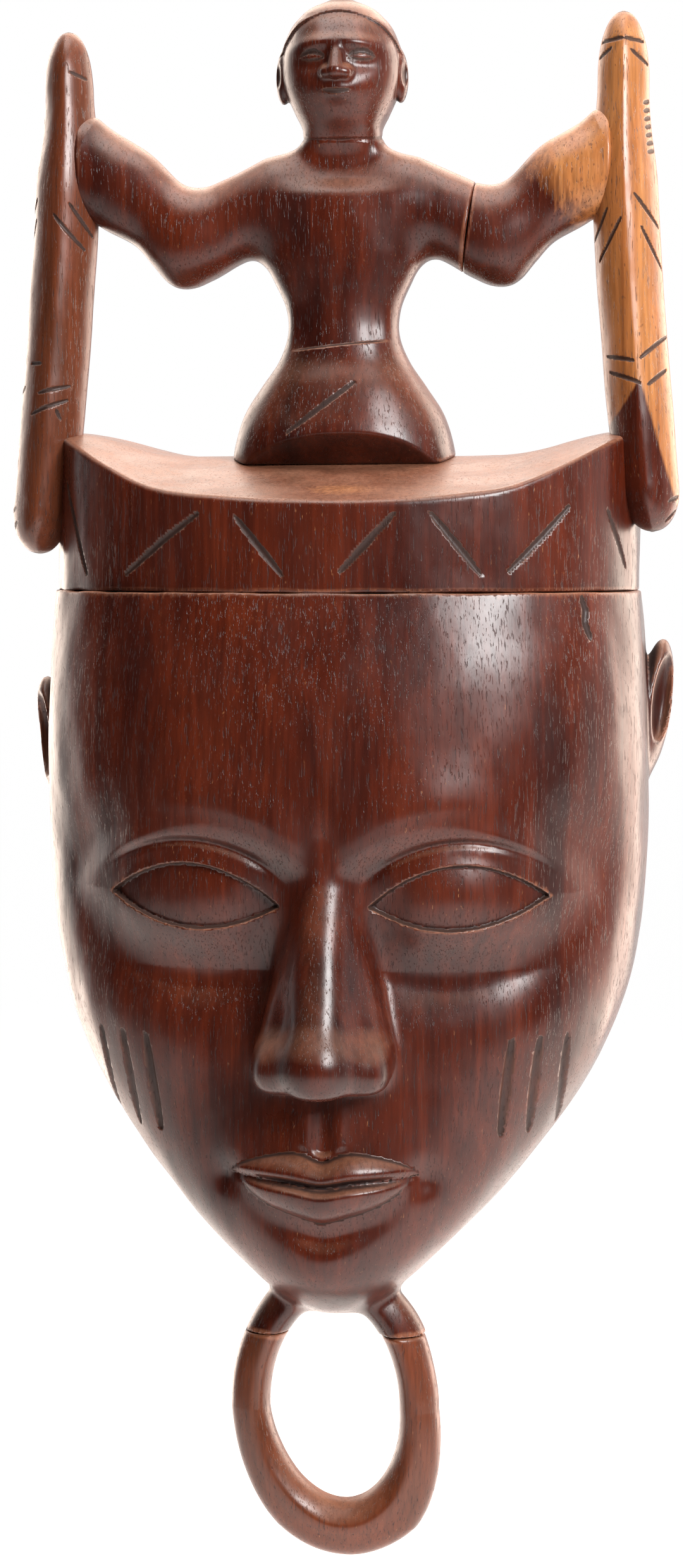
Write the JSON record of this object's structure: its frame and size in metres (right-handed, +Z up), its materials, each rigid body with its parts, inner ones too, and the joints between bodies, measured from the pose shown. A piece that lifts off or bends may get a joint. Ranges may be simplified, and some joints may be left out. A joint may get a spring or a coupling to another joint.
{
  "type": "carved wooden mask",
  "caption": "Hollow carved wooden face mask with a banded crown, a seated half figure holding two upright posts, and a grip ring under the chin",
  "frame": {"origin": "mouth of the nail hole in the flat back of the crown", "axes": "+Z up along the face, +Y out of the flat back towards the wall, +X to the viewer's right"},
  "size_m": [0.1936, 0.1109, 0.4469],
  "materials": {
    "heartwood": "waxed satin gloss",
    "sapwood": "waxed satin gloss",
    "peg_wood": "bare"
  },
  "bodies": {
    "root": {"mask_shell": "heartwood", "crown": "heartwood", "figure": "heartwood", "forearm_right": "heartwood", "post_left": "heartwood", "post_right": "sapwood", "chin_ring": "heartwood", "crown_dowels": "peg_wood", "seat_dowel": "peg_wood", "arm_pin": "peg_wood", "hand_pegs": "peg_wood", "post_pegs": "peg_wood", "ring_pegs": "peg_wood"}
  },
  "joints": []
}
